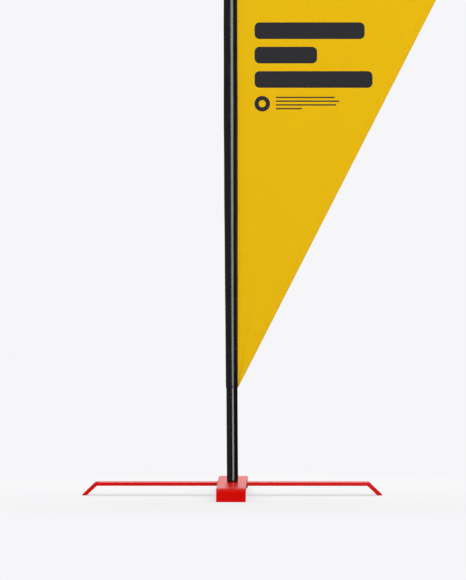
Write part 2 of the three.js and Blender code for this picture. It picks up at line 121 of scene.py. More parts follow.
SAIL_START = SLEEVE_START + 0.0004
SAIL_END = POCKET_START - 0.002
SAIL_THICKNESS = 0.0006
HEM_WIDTH = 0.015
TACK_PATCH_LENGTH = 0.15
CLEW_PATCH_LENGTH = 0.13
PATCH_THICKNESS = 0.0005

HOOK_LOW, HOOK_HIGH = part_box("anchor_hook")
HOOK_GAUGE = 0.002
HOOK_DROP = 0.01
RING_LOW, RING_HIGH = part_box("tension_ring")
RING_WIRE = 0.0015
STRAP_LOW, STRAP_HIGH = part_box("tension_webbing")
STRAP_THICKNESS = 0.0012


def middle(node):
    low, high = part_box(node)
    return (low + high) / 2


def heights(node):
    """The lowest and highest z of a node's box."""
    return [corner.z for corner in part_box(node)]


# ---- node helpers for materials ----


def add_node(tree, kind, inputs, **settings):
    """A new node. Each input is a value or the socket that feeds it."""
    node = tree.nodes.new("ShaderNode" + kind)
    for name, value in settings.items():
        setattr(node, name, value)
    for key, value in inputs.items():
        if isinstance(value, bpy.types.NodeSocket):
            tree.links.new(value, node.inputs[key])
        else:
            node.inputs[key].default_value = value
    return node


class Paint:
    """A material under construction: a Principled shader and short forms for the nodes that feed it.

    A noise is its scale, its detail and how much of its Z it takes, which is little for long streaks.
    """

    def __init__(self, color, **sockets):
        self.material = bpy.data.materials.new("paint")
        self.material.use_nodes = True
        self.tree = self.material.node_tree
        self.shader = self.tree.nodes["Principled BSDF"]
        self.color = (*color, 1.0)
        self.normal = None
        for socket, value in {"Base_Color": self.color, **sockets}.items():
            self.shader.inputs[socket.replace("_", " ")].default_value = value

    def node(self, kind, inputs, **settings):
        return add_node(self.tree, kind, inputs, **settings)

    def feed(self, socket, value):
        self.tree.links.new(value, self.shader.inputs[socket])

    def math(self, operation, first, second=0.0):
        return self.node("Math", {0: first, 1: second}, operation=operation).outputs[0]

    def vector(self, operation, first, second=(0, 0, 0)):
        return self.node("VectorMath", {0: first, 1: second}, operation=operation).outputs[0]

    def distance(self, first, second=(0, 0, 0)):
        node = self.node("VectorMath", {0: first, 1: second}, operation="DISTANCE")
        return node.outputs["Value"]

    def place(self, stretch=(1, 1, 1)):
        """The surface's own coordinates in metres, each axis times its stretch."""
        return self.vector("MULTIPLY", self.node("TexCoord", {}).outputs["Object"], stretch)

    def noise(self, scale, detail=3.0, along=1.0):
        sockets = {"Vector": self.place((1, 1, along)), "Scale": scale, "Detail": detail}
        return self.node("TexNoise", sockets).outputs[0]

    def remap(self, value, low, high, to_low=0.0, to_high=1.0):
        sockets = dict(enumerate((value, low, high, to_low, to_high)))
        return self.node("MapRange", sockets).outputs[0]

    def tint(self, factor, color):
        """Mixes another colour in where factor is high."""
        mix = self.node("Mix", {0: factor, 6: self.color, 7: (*color, 1.0)}, data_type="RGBA")
        self.color = mix.outputs[2]
        self.feed("Base Color", self.color)
        return self

    def blotches(self, color, *noise, span=(0.4, 0.7), most=1.0):
        """Mixes another colour in, up to the share `most`, as a noise rises through its span."""
        return self.tint(self.remap(self.noise(*noise), *span, 0.0, most), color)

    def rough(self, low, high, *noise):
        """Roughness that follows a noise, from low to high."""
        self.feed("Roughness", self.remap(self.noise(*noise), 0.3, 0.7, low, high))
        return self

    def bump(self, size, height):
        """Adds relief: height runs from 0 to 1, and size is what that is in metres."""
        sockets = {"Height": height, "Distance": size, "Strength": 1.0}
        if self.normal:
            sockets["Normal"] = self.normal
        self.normal = self.node("Bump", sockets).outputs[0]
        self.feed("Normal", self.normal)
        return self

    def relief(self, size, *noise):
        return self.bump(size, self.noise(*noise))

    def woven(self, size, pitch, place=None, axes=(0, 1)):
        """A plain weave with threads along two axes of place, or else of the places in the flat cloth."""
        if place is None:
            place = self.node("Attribute", {}, attribute_name="cloth").outputs["Vector"]
        parts = self.node("SeparateXYZ", {0: place}).outputs
        threads = [self.math("SINE", self.math("MULTIPLY", parts[axis], math.pi / pitch)) for axis in axes]
        return self.bump(size, self.remap(self.math("MULTIPLY", *threads), -1.0, 1.0))


# ---- materials ----


# the sail's print: three solid bars, a plain ring and four thin lines; first_z is above the floor
PRINTED_BARS = {"left": 0.0537, "first_z": 1.114, "pitch": 0.0585, "height": 0.04}
PRINTED_BARS["lengths"] = [0.264, 0.15, 0.283]
PRINTED_LINES = {"left": 0.1049, "first_z": 0.954, "pitch": 0.009, "height": 0.0032}
PRINTED_LINES["lengths"] = [0.141, 0.152, 0.1445, 0.0624]
PRINT_ROUNDING = 0.3  # of a bar's corners, as a share of its height
PRINT_RING_CENTRE = (0.0722, 0, 0.9389)
PRINT_RING_RADII = (0.0187, 0.0085)
INK = (0.0205, 0.0205, 0.0225)
INK_EDGE = 0.0002


def print_mask(paint):
    """1 where the print's ink is, from the distance to the ring's band and to each rounded bar."""

    def inked(distance, reach):
        return paint.remap(distance, reach + INK_EDGE, reach - INK_EDGE)

    place = paint.place((1, 0, 1))
    outer, inner = PRINT_RING_RADII
    from_middle = paint.math("SUBTRACT", paint.distance(place, PRINT_RING_CENTRE), (outer + inner) / 2)
    ink = inked(paint.math("ABSOLUTE", from_middle), (outer - inner) / 2)
    for rows in (PRINTED_BARS, PRINTED_LINES):
        corner = PRINT_ROUNDING * rows["height"]
        for row, length in enumerate(rows["lengths"]):
            centre = (rows["left"] + length / 2, 0, rows["first_z"] - row * rows["pitch"])
            core = (length / 2 - corner, 0, rows["height"] / 2 - corner)
            offset = paint.vector("ABSOLUTE", paint.vector("SUBTRACT", place, centre))
            outside = paint.vector("MAXIMUM", paint.vector("SUBTRACT", offset, core))
            ink = paint.math("MAXIMUM", ink, inked(paint.distance(outside), corner))
    return ink


def sail_paint():
    paint = Paint((0.6, 0.36, 0.003), Specular_IOR_Level=0.02)
    paint.blotches((0.588, 0.348, 0.0028), 5.0, 4.0, span=(0.35, 0.75), most=0.3)
    paint.tint(print_mask(paint), INK)
    paint.rough(0.66, 0.78, 240.0)
    return paint.woven(0.00003, 0.0008, paint.place(), axes=(0, 2))


def thread_paint(*color):
    paint = Paint(color, Roughness=0.6, Specular_IOR_Level=0.15)
    return paint.blotches([0.8 * c for c in color], 1500.0, 2.0).relief(0.00003, 3500.0, 1.0)


PAINTS = {
    "powder_coat": Paint((0.52, 0.0022, 0.0012), Specular_IOR_Level=0.04)
    .rough(0.27, 0.34, 70.0)
    .blotches((0.44, 0.0018, 0.001), 11.0, span=(0.35, 0.75), most=0.35)
    .relief(0.00002, 420.0, 1.0)
    .relief(0.000005, 1500.0, 2.0),
    "zinc_steel": Paint((0.62, 0.63, 0.64), Metallic=1.0)
    .blotches((0.5, 0.51, 0.55), 160.0, 4.0)
    .rough(0.25, 0.42, 320.0, 4.0)
    .relief(0.00001, 1800.0, 2.0, 0.2),
    "nylon": Paint((0.78, 0.74, 0.62), Subsurface_Weight=0.12)
    .blotches((0.7, 0.65, 0.52), 130.0, span=(0.4, 0.75), most=0.5)
    .rough(0.36, 0.5, 500.0)
    .relief(0.000012, 2200.0, 2.0, 0.15),
    "plain_aluminium": Paint((0.66, 0.67, 0.69), Metallic=1.0)
    .blotches((0.56, 0.57, 0.59), 60.0, 4.0, 0.3)
    .rough(0.22, 0.38, 900.0, 3.0, 0.02)
    .relief(0.000012, 2600.0, 2.0, 0.01),
    "black_aluminium": Paint((0.0035, 0.0036, 0.0038), IOR=1.35)
    .rough(0.15, 0.18, 240.0, 3.0, 0.06)
    .blotches((0.006, 0.006, 0.0064), 900.0, 3.0, 0.01, span=(0.4, 0.8))
    .relief(0.0000008, 1500.0, 2.0, 0.012),
    "black_fibreglass": Paint((0.012, 0.012, 0.012))
    .blotches((0.024, 0.024, 0.024), 900.0, 3.0, 0.05, span=(0.45, 0.7))
    .rough(0.25, 0.38, 300.0)
    .relief(0.00001, 1600.0, 2.0),
    "black_plastic": Paint((0.004, 0.004, 0.0042), IOR=1.35)
    .rough(0.17, 0.24, 400.0)
    .blotches((0.007, 0.007, 0.007), 220.0, 2.0, span=(0.4, 0.8), most=0.6)
    .relief(0.000003, 3000.0, 2.0),
    "sleeve_cloth": Paint((0.004, 0.0041, 0.0043), IOR=1.35)
    .blotches((0.0065, 0.0066, 0.0068), 35.0, 4.0, span=(0.4, 0.75), most=0.7)
    .rough(0.22, 0.28, 180.0)
    .woven(0.000008, 0.0008),
    "sail_cloth": sail_paint(),
    "webbing": Paint((0.011, 0.011, 0.0115), Sheen_Weight=0.1)
    .blotches((0.02, 0.02, 0.02), 400.0)
    .rough(0.5, 0.7, 600.0, 2.0)
    .woven(0.00012, 0.0015),
    "elastic_cord": Paint((0.012, 0.012, 0.012), Sheen_Weight=0.1)
    .blotches((0.024, 0.024, 0.024), 700.0)
    .rough(0.5, 0.7, 900.0, 2.0)
    .woven(0.00012, 0.0011),
    "black_thread": thread_paint(0.014, 0.014, 0.014),
    "yellow_thread": thread_paint(0.62, 0.37, 0.006),
}
for paint_name, finished_paint in PAINTS.items():
    finished_paint.material.name = paint_name

# ---- mesh helpers ----


def xyz(x, y, z):
    """Points from coordinates that may come as numbers, rows or grids."""
    return np.stack(np.broadcast_arrays(x, y, z), axis=-1)


def grid_faces(rows, columns, wrap_rows=False, wrap_columns=True):
    """The faces of a grid of points, which may join up with itself along either way."""
    row = np.arange(rows if wrap_rows else rows - 1)[:, None]
    column = np.arange(columns if wrap_columns else columns - 1)[None, :]
    next_row, next_column = (row + 1) % rows, (column + 1) % columns
    corners = [(row, column), (row, next_column), (next_row, next_column), (next_row, column)]
    index = [down * columns + across for down, across in corners]
    return np.stack(np.broadcast_arrays(*index), axis=-1).reshape(-1, 4)


def loft(rings, closed=False):
    """Points and faces through rings of points. It closes on itself, or its ends are capped."""
    rows, columns = rings.shape[:2]
    faces = grid_faces(rows, columns, wrap_rows=closed).tolist()
    if not closed:
        faces.append(list(range(columns))[::-1])
        faces.append(list(range((rows - 1) * columns, rows * columns)))
    return rings.reshape(-1, 3), faces


def joined(shells):
    """Several (points, faces) as one."""
    points, faces, count = [], [], 0
    for shell_points, shell_faces in shells:
        points.append(shell_points)
        faces.extend([[count + corner for corner in face] for face in shell_faces])
        count += len(shell_points)
    return np.concatenate(points), faces


def add_mesh(name, shell, crease=35.0):
    points, faces = shell
    mesh = bpy.data.meshes.new(name)
    mesh.from_pydata(np.asarray(points, float).tolist(), [], faces)
    mesh.shade_smooth()
    mesh.set_sharp_from_angle(angle=math.radians(crease))
    return add_to_scene(bpy.data.objects.new(name, mesh))


def piece(name, shell, slot, *nodes, body=POLE_BODY, paint=None, crease=35.0):
    """A piece of the flag: its mesh, its material slot and the CAD nodes that it stands for."""
    thing = add_mesh(name, shell, crease)
    thing.data.materials.append(PAINTS[paint or slot].material)
    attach(thing, body)
    if nodes:
        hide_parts(*nodes)
    return thing


def modify(thing, kind, **settings):
    """Adds a modifier and applies it to the mesh."""
    modifier = thing.modifiers.new(kind, kind)
    for name, value in settings.items():
        setattr(modifier, name, value)
    evaluated = thing.evaluated_get(bpy.context.evaluated_depsgraph_get())
    mesh = bpy.data.meshes.new_from_object(evaluated)
    thing.modifiers.clear()
    thing.data = mesh


def ease_edges(thing):
    modify(thing, "BEVEL", width=BAR_EDGE, segments=3, angle_limit=math.radians(40), harden_normals=True)


def store_cloth(thing, across, along):
    """Keeps each point's place in the flat cloth, in metres, for the weave."""
    layer = thing.data.attributes.new("cloth", "FLOAT_VECTOR", "POINT")
    layer.data.foreach_set("vector", xyz(across, along, 0.0).astype(np.float32).ravel())


def filleted(corners, radii, steps=5, closed=True):
    """An outline of straight lines with its corners rounded. radii is one radius, or one for each."""
    corners = [Vector(corner) for corner in corners]
    ends = () if closed else (0, len(corners) - 1)
    outline = []
    for index, radius in enumerate(np.broadcast_to(radii, len(corners))):
        corner = corners[index]
        if radius == 0 or index in ends:
            outline.append(tuple(corner))
            continue
        back = (corners[index - 1] - corner).normalized()
        ahead = (corners[(index + 1) % len(corners)] - corner).normalized()
        half = back.angle(ahead) / 2
        centre = corner + (back + ahead).normalized() * radius / math.sin(half)
        start = corner + back * radius / math.tan(half) - centre
        end = corner + ahead * radius / math.tan(half) - centre
        for step in range(steps + 1):
            outline.append(tuple(centre + start.lerp(end, step / steps).normalized() * radius))
    return np.array(outline)


def circle(sides):
    turn = np.linspace(0, TURN, sides, endpoint=False)
    return np.cos(turn), np.sin(turn)


def lathe(radius, height, sides, closed):
    """A shell about the Z axis through rings, each with one radius or one for each side."""
    cosine, sine = circle(sides)
    return loft(xyz(radius * cosine, radius * sine, height), closed)


def turned(profile, sides=96, closed=True):
    """A shell turned about the Z axis from (radius, height) points."""
    radius, height = np.asarray(profile, float).T[:, :, None]
    return lathe(radius, height, sides, closed)


def smooth_step(value, low, high):
    t = np.clip((value - low) / (high - low), 0, 1)
    return t * t * (3 - 2 * t)


def unit(vectors):
    return vectors / np.linalg.norm(vectors, axis=-1, keepdims=True)


def evenly(points, count, endpoint=True):
    """Evenly spaced places along a line of points: how far along each one lies, and where."""
    travelled = np.append(0, np.cumsum(np.linalg.norm(np.diff(points, axis=0), axis=1)))
    along = np.linspace(0, travelled[-1], count, endpoint=endpoint)
    return along, np.stack([np.interp(along, travelled, axis) for axis in points.T], axis=-1)


# ---- the pole's centre line ----


def heading_at(s):
    lean = -FOOT_LEAN * (1 - s / STRAIGHT_AT)
    along = np.clip((s - BEND_START) / (POLE_LENGTH - BEND_START), 0, 1)
    return lean + TIP_HEADING * along**BEND_POWER


def trace_pole():
    s = np.arange(0, POLE_LENGTH + 0.02, TRACE_STEP)
    heading = heading_at(s + TRACE_STEP / 2)
    x = POLE_FOOT_X + np.cumsum(TRACE_STEP * np.sin(heading))
    z = POLE_FOOT_Z + np.cumsum(TRACE_STEP * np.cos(heading))
    places = np.append(0, s + TRACE_STEP)
    return places, np.append(POLE_FOOT_X, x), np.append(POLE_FOOT_Z, z)


TRACE = trace_pole()


def beside_pole(s, across=0.0, deep=0.0):
    """Points at arc length s, moved `across` towards the sail and `deep` towards the rear."""
    heading = heading_at(s)
    x = np.interp(s, TRACE[0], TRACE[1]) + across * np.cos(heading)
    return xyz(x, deep, np.interp(s, TRACE[0], TRACE[2]) - across * np.sin(heading))


def arc_length_at(z):
    """The arc length at a height on the pole's straight part."""
    return float(np.interp(z, TRACE[2][:200], TRACE[0][:200]))


def swept_rings(profile, sides):
    """Round rings along the pole's line from (s, radius) points."""
    s, radius = np.asarray(profile, float).T[:, :, None]
    cosine, sine = circle(sides)
    return beside_pole(s, radius * cosine, radius * sine)


def steps_along(start, end, step=0.01):
    return np.linspace(start, end, max(2, round(abs(end - start) / step) + 1))


def swept(start, end, radius, bore=None, end_radius=None, edge=0.0003, sides=64):
    """A tube along the pole's line with eased edges at both ends, or a rod where it has no bore."""
    end_radius = end_radius or radius
    outside = steps_along(start + edge, end - edge)
    radii = np.linspace(radius, end_radius, len(outside))
    profile = [(start, radius - edge), *zip(outside, radii), (end, end_radius - edge)]
    if bore:
        profile += [(s, bore) for s in steps_along(end, start, 0.02)]
    return loft(swept_rings(profile, sides), closed=bool(bore))


# ---- cross base ----

SIDE_BEND = 0.014  # radius of the top face at the side feet's bends
LONG_BAR_BEND = 0.05  # the front foot's shading shows a softer one
BAR_EDGE = 0.00025
BAR_STEPS = 15  # sections across a bar's width
WELD_INSET = 0.001  # how far a bead stops short of a bar's edge


def leg_outline(inner, bend):
    """A leg's side view from the middle outwards and back, as (distance out, height)."""
    foot_cut = BAR_THICKNESS * math.hypot(FOOT_RUN, LEG_TOP) / LEG_TOP
    underside = LEG_TOP - BAR_THICKNESS
    under_bend = LEG_REACH - foot_cut - FOOT_RUN / LEG_TOP * underside
    corners = [(inner, LEG_TOP), (LEG_REACH - FOOT_RUN, LEG_TOP), (LEG_REACH, 0)]
    corners += [(LEG_REACH - foot_cut, 0), (under_bend, underside), (inner, underside)]
    return filleted(corners, [0, bend, 0, 0, bend - BAR_THICKNESS, 0], steps=14)


def across_bar(outline, along, sideways):
    """An outline given the bar's width. along and sideways are the directions of its two axes."""
    widths = np.linspace(-BAR_WIDTH / 2, BAR_WIDTH / 2, BAR_STEPS)[:, None, None]
    out, height = outline.T[:, None, :, None]
    rings = out * np.array(along, float) + widths * np.array(sideways, float)
    return loft(rings + height * np.array((0, 0, 1.0)))


def weld_bead(start, end, out, radius=0.0021, sides=12):
    """A rippled bead of weld metal from start to end, most of it sunk below the surface."""
    start, end, out = (np.array(v, float) for v in (start, end, out))
    length = np.linalg.norm(end - start)
    t = np.linspace(0, 1, round(length / 0.0005))[:, None, None]
    ripple = 1 + 0.1 * np.abs(np.sin(np.pi * t * length / 0.0022)) + 0.05 * np.sin(41 * t)
    taper = np.sqrt(np.clip(1 - (2 * t - 1) ** 12, 0.02, 1))
    cosine, sine = (part[None, :, None] for part in circle(sides))
    sideways = np.cross(end - start, out) / length
    round_part = sideways * cosine + 0.55 * out * sine
    rings = start + (end - start) * t - 0.0004 * out + radius * ripple * taper * round_part
    return loft(rings)


def side_leg(side):
    """The right or left leg with the welds that join it to the front and rear bar."""
    edge = BAR_WIDTH / 2  # of the bar that it's welded to, and of its own width
    bar = across_bar(leg_outline(edge, SIDE_BEND), (side, 0, 0), (0, side, 0))
    name = "right_leg" if side > 0 else "left_leg"
    ease_edges(piece(name, bar, "powder_coat", name + "_bar", body="base"))
    underside = LEG_TOP - BAR_THICKNESS
    beads = []
    for up, height in ((1, LEG_TOP), (-1, underside)):
        ends = [(side * edge, y, height) for y in (-edge + WELD_INSET, edge - WELD_INSET)]
        beads.append(weld_bead(*ends, (0, 0, up)))
    for way in (-1, 1):
        corner = (side * edge, way * edge)
        ends = [(*corner, underside + WELD_INSET / 2), (*corner, LEG_TOP - WELD_INSET / 2)]
        beads.append(weld_bead(*ends, unit(np.array((side, way, 0)))))
    piece(name + "_welds", joined(beads), "powder_coat", body="base")


def front_rear_bar():
    half = leg_outline(0, LONG_BAR_BEND)[1:-1]
    shell = across_bar(np.concatenate([half, half[::-1] * (-1, 1)]), (0, 1, 0), (-1, 0, 0))
    bar = piece("front_and_rear_leg", shell, "powder_coat", "front_rear_leg_bar", body="base")
    hole = [(SPINDLE_HOLE_RADIUS, 0), (SPINDLE_HOLE_RADIUS, 2 * LEG_TOP)]
    cutter = add_mesh("cutter", turned(hole, 64, closed=False))
    modify(bar, "BOOLEAN", object=cutter)
    bpy.data.objects.remove(cutter)
    ease_edges(bar)


front_rear_bar()
side_leg(-1)
side_leg(1)

# ---- spindle and what clamps it ----

THREAD_RADIUS = 0.0059
THREAD_DEPTH = 0.0009
THREAD_PITCH = 0.00175
SPINDLE_RADIUS = 0.0065
FLANGE_RADIUS = 0.0104
FLANGE_HEIGHT = 0.0028
WASHER_BORE = 0.0064
NUT_HALF_FLATS = 0.0095


def spindle():
    """The threaded pin: its end, thread, neck and flange, then a plain top with a hollow in its end."""
    sides = 96
    low, high = heights("spindle")
    flange_bottom = LEG_TOP + FIT
    flange_top = flange_bottom + FLANGE_HEIGHT
    thread_z = np.arange(low + 0.001, flange_bottom - 0.004, 0.00014)
    turn = np.linspace(0, 1, sides, endpoint=False)
    ridge = np.abs(((thread_z[:, None] / THREAD_PITCH - turn) % 1) * 2 - 1)
    thread = THREAD_RADIUS - THREAD_DEPTH * np.clip(1.25 * ridge - 0.1, 0, 1)
    corners = [(THREAD_RADIUS, flange_bottom), (FLANGE_RADIUS, flange_bottom), (FLANGE_RADIUS, flange_top)]
    corners += [(SPINDLE_RADIUS, flange_top), (SPINDLE_RADIUS, high - 0.001)]
    corners += [(SPINDLE_RADIUS - 0.001, high), (0.0036, high)]
    upper = filleted(corners, [0, 0.0005, 0.0005, 0.0004, 0.0004, 0.0003, 0], closed=False)
    rows = [(THREAD_RADIUS - 0.0012, low), *zip(thread, thread_z)]
    rows += [(THREAD_RADIUS, flange_bottom - 0.0035), *upper, (0.0002, high - 0.0018)]
    radius = np.array([np.broadcast_to(ring, sides) for ring, _ in rows])
    shell = lathe(radius, np.array([[z] for _, z in rows]), sides, closed=False)
    piece("threaded_spindle", shell, "zinc_steel", "spindle", body="base")


def nut():
    low, high = heights("spindle_nut")
    sides, chamfer, sector = 96, 0.0008, TURN / 6
    turn = np.linspace(0, TURN, sides, endpoint=False)
    hexagon = NUT_HALF_FLATS / np.cos((turn + sector / 2) % sector - sector / 2)
    bore, corner = THREAD_RADIUS + FIT, NUT_HALF_FLATS / math.cos(sector / 2)
    face = NUT_HALF_FLATS - 0.0003
    profile = [(bore, low + chamfer), (bore + chamfer, low), (face, low), (corner, low + 2 * chamfer)]
    profile += [(corner, high - 2 * chamfer), (face, high), (bore + chamfer, high), (bore, high - chamfer)]
    radius, height = np.array(profile).T[:, :, None]
    shell = lathe(np.minimum(radius, hexagon), height, sides, closed=True)
    piece("hex_nut", shell, "zinc_steel", "spindle_nut", body="base")


def spring_washer():
    """Split, with one end of its coil a little higher than the other."""
    low, high = heights("spindle_spring_washer")
    corners = [(WASHER_BORE, low), (0.0102, low), (0.0102, high), (WASHER_BORE, high)]
    radius, height = filleted(corners, 0.0003, steps=2).T[:, None, :]
    turn = np.linspace(0, TURN - 0.2, 90)[:, None]
    lift = 0.0002 * (turn / TURN - 0.5)
    rings = xyz(radius * np.cos(turn), radius * np.sin(turn), height + lift)
    piece("split_washer", loft(rings), "zinc_steel", "spindle_spring_washer", body="base")


def ring_from_box(name, bore, body, slot, node, edge=0.0003):
    """A plain turned ring that fills a node's box."""
    low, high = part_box(node)
    corners = [(bore, low.z), (high.x, low.z), (high.x, high.z), (bore, high.z)]
    piece(name, turned(filleted(corners, edge, steps=3)), slot, node, body=body)


spindle()
ring_from_box("flat_washer", WASHER_BORE, "base", "zinc_steel", "spindle_washer", 0.0005)
spring_washer()
nut()

# ---- rotator ----

BUSH_BORE = 0.0068
BUSH_RADIUS = 0.0077
BUSH_FLANGE_HEIGHT = 0.0015


def flanged_bush(name, node, flange_up):
    low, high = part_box(node)
    flange, tail = (high.z, low.z) if flange_up else (low.z, high.z)
    inside = flange - math.copysign(BUSH_FLANGE_HEIGHT, flange - tail)
    corners = [(BUSH_BORE, flange), (high.x, flange), (high.x, inside)]
    corners += [(BUSH_RADIUS, inside), (BUSH_RADIUS, tail), (BUSH_BORE, tail)]
    piece(name, turned(filleted(corners, 0.0003, steps=3)), "nylon", node, body="rotator")


def rotator_cap():
    """A cap with a rounded top rim, hollowed underneath to a cone that sits on the ball."""
    low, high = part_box("rotator_cap")
    seat = middle("pivot_ball").z + 0.0004
    hollow, rim = 0.0075, high.x
    corners = [(0.0002, seat + 0.0054), (0.006, seat), (hollow, seat), (hollow, low.z)]
    corners += [(rim, low.z), (rim, high.z - 0.002), (rim - 0.002, high.z), (0.0002, high.z)]
    radii = [0, 0.0003, 0.0003, 0.0004, 0.0004, 0.0012, 0.0012, 0]
    shell = turned(filleted(corners, radii, closed=False), closed=False)
    piece("domed_cap", shell, "nylon", "rotator_cap", body="rotator")


def ball():
    low, high = heights("pivot_ball")
    centre, radius = (high + low) / 2, (high - low) / 2
    angles = np.linspace(0.03, math.pi - 0.03, 40)
    profile = np.stack([radius * np.sin(angles), centre - radius * np.cos(angles)], axis=-1)
    piece("steel_ball", turned(profile, 64, closed=False), "zinc_steel", "pivot_ball", body="rotator")


ring_from_box("bottom_washer", 0.0069, "rotator", "nylon", "thrust_washer")
flanged_bush("lower_bush", "rotator_lower_bush", flange_up=False)
flanged_bush("upper_bush", "rotator_upper_bush", flange_up=True)
ring_from_box("turning_sleeve", 0.008, "rotator", "plain_aluminium", "rotator_sleeve")
ball()
rotator_cap()

# ---- pole ----


def foot_ring():
    """The rounded collar on the pole's lower end."""
    radius, bore = LOWER_TUBE["radius"], LOWER_TUBE["bore"]
    top = LOWER_TUBE["start"] - FIT
    corners = [(0, bore), (0, radius), (top, radius), (top, bore)]
    profile = filleted(corners, [0.0003, 0.0023, 0.0003, 0.0003], steps=8)
    piece("foot_collar", loft(swept_rings(profile, 96), closed=True), "black_plastic", "pole_foot_ring")


def pole_sections():
    rod_ends = {"edge": 0.0004, "sides": 48}
    plug_ends = [arc_length_at(z) for z in heights("pole_stop_plug")]
    sections = [
        ("lower_tube", swept(**LOWER_TUBE, sides=96), "black_aluminium", "lower_pole_tube"),
        ("middle_tube", swept(**MIDDLE_TUBE), "black_aluminium", "middle_pole_tube"),
        ("upper_tube", swept(**UPPER_TUBE), "black_fibreglass", "upper_pole_tube"),
        ("whip_rod", swept(**TIP_ROD, **rod_ends), "black_fibreglass", "tip_rod"),
        ("foot_plug", swept(*plug_ends, PLUG_RADIUS, **rod_ends), "nylon", "pole_stop_plug"),
    ]
    for section in sections:
        piece(*section)


def ferrules():
    """Collars at the mouths of the three outer sections, each one round the section that slides in."""
    joints = [
        ("lower", LOWER_TUBE["end"], LOWER_TUBE["radius"], MIDDLE_TUBE["radius"]),
        ("middle", MIDDLE_TUBE["end"], MIDDLE_TUBE["radius"], UPPER_TUBE["radius"]),
        ("upper", UPPER_TUBE["end"], UPPER_TUBE["end_radius"], TIP_ROD["radius"]),
    ]
    for name, mouth, outer, inner in joints:
        collar = swept(mouth + FIT, mouth + FIT + FERRULE_LENGTH, outer, inner + FIT, edge=0.0006)
        piece(name + "_collar", collar, "black_plastic", name + "_ferrule")


def tip_cap():
    start, end, radius = POLE_LENGTH - 0.016, POLE_LENGTH + 0.004, 0.005
    corners = [(start, 0.0031), (start, radius - 0.0007), (start + 0.0015, radius)]
    corners += [(end, radius), (end, 0.0002)]
    profile = filleted(corners, [0, 0.0004, 0.0005, 0.0024, 0], steps=8, closed=False)
    piece("rubber_tip", loft(swept_rings(profile, 48)), "black_plastic", "tip_cap")


foot_ring()
pole_sections()
ferrules()
tip_cap()

# ---- sleeve and tip pocket ----

CLOTH_STEP = 0.006
CLOTH_RADIUS = 0.0145  # of the flat cloth's turn round the pole, for the weave
TUBE_COLUMNS = 72
TUBE_DOME = 0.0012  # how far a tube's closed end rises over the tip
MOUTH_HEM = 0.018
GATHERS = {"height": 0.00035, "pitch": 0.017}  # on the inside of the bend
SLACK = {"height": 0.00012, "pitch": 0.21}  # slow ripples all the way up


def sleeve_width(s):
    return np.interp(s, *SLEEVE_HALF_WIDTH)


def sleeve_depth(s):
    return np.interp(s, *SLEEVE_HALF_DEPTH)


def sleeve_surface(s, turn, proud=0.0):
    """Points on the sleeve's outside. turn is 0 on the sail's side and a quarter turn at the rear."""
    cosine, sine = np.cos(turn), np.sin(turn)
    inside_bend = np.clip(cosine, 0, 1) ** 3 * smooth_step(s, BEND_START, 1.7)
    gathers = np.sin(TURN * s / GATHERS["pitch"] + 1.3 * np.sin(TURN * s / 0.13) + 1.5 * sine)
    slack = SLACK["height"] * np.sin(TURN * s / SLACK["pitch"] + 2 * sine) * smooth_step(s, 0.3, 0.5)
    swell = proud + GATHERS["height"] * inside_bend * gathers + slack
    pinch = 1 - 0.1 * np.clip(cosine, 0, 1) ** 4
    deep = (sleeve_depth(s) + swell) * sine * pinch
    return beside_pole(s, (sleeve_width(s) + swell) * cosine, deep)


def cloth_tube(name, start, end, proud, wall, slot, node, hem):
    """A cloth tube round the pole, rounded off over its tip, with a folded hem at its open mouth."""
    turn = np.linspace(0, TURN, TUBE_COLUMNS, endpoint=False)[None, :]
    outer = steps_along(start, end, CLOTH_STEP)[:, None]
    fold = 0.0002 * (1 - smooth_step(outer, start + hem, start + hem + 0.001))
    lip = -0.0003 * (1 - smooth_step(outer, start, start + 0.0015))
    inner = steps_along(end - wall, start, 0.03)[:, None]
    rows = [sleeve_surface(outer, turn, proud + fold + lip)]
    for share in (0.97, 0.85, 0.6, 0.3, 0.02):
        rows.append(shrunk_ring(end + TUBE_DOME * math.sqrt(1 - share**2), turn, proud, share))
    for share in (0.02, 0.6):
        rows.append(shrunk_ring(end - wall, turn, proud - wall, share))
    rows.append(sleeve_surface(inner, turn, proud - wall))
    rings = np.concatenate(rows)
    thing = piece(name, loft(rings, closed=True), slot, node)
    turning_points = [0, len(outer) - 1, len(rings) - 1]
    along = np.interp(np.arange(len(rings)), turning_points, [start, end, start])
    store_cloth(thing, turn * CLOTH_RADIUS, along[:, None])
    return thing


def shrunk_ring(s, turn, proud, share):
    """A ring round the pole at a share of the sleeve's size."""
    across = share * (sleeve_width(s) + proud) * np.cos(turn)
    deep = share * (sleeve_depth(s) + proud) * np.sin(turn)
    return beside_pole(s, across, deep)


sleeve = cloth_tube(
    "cloth_sleeve", SLEEVE_START, SLEEVE_END, 0.0, SLEEVE_WALL, "sleeve_cloth", "pole_sleeve", MOUTH_HEM
)
pocket = cloth_tube(
    "end_pocket", POCKET_START, SLEEVE_END + 0.0024, 0.0021, 0.001, "webbing", "tip_pocket", 0.012
)

# ---- sail ----

SAIL_ROWS = 420
SAIL_COLUMNS = 96
SEAM_TUCK = 0.0012  # how far the sail's edge goes in under the sleeve's outside
PATCH_INSET = 0.0004  # how far the hem and the patches stay inside the free edge
BELLY, DRIFT, PUCKERS = 0.009, 0.0008, 0.00028  # of the whole sail, its unevenness and its seam
# the folds that fan out from a corner: how steeply they rise, how soon they fade, their number and shift
TACK_FOLDS = (0.0025, 0.22, 2.6, 0.15)
CLEW_FOLDS = (0.0075, 0.2, 3.1, 0.4)


def seam_point(s):
    return beside_pole(s, sleeve_width(s) + FIT)


TACK = seam_point(SAIL_START)
CLEW = seam_point(SAIL_END)
EDGE_LENGTH = float(np.linalg.norm(CLEW - TACK))
EDGE_DIRECTION = (CLEW - TACK) / EDGE_LENGTH
INTO_SAIL = np.array((-EDGE_DIRECTION[2], 0, EDGE_DIRECTION[0]))


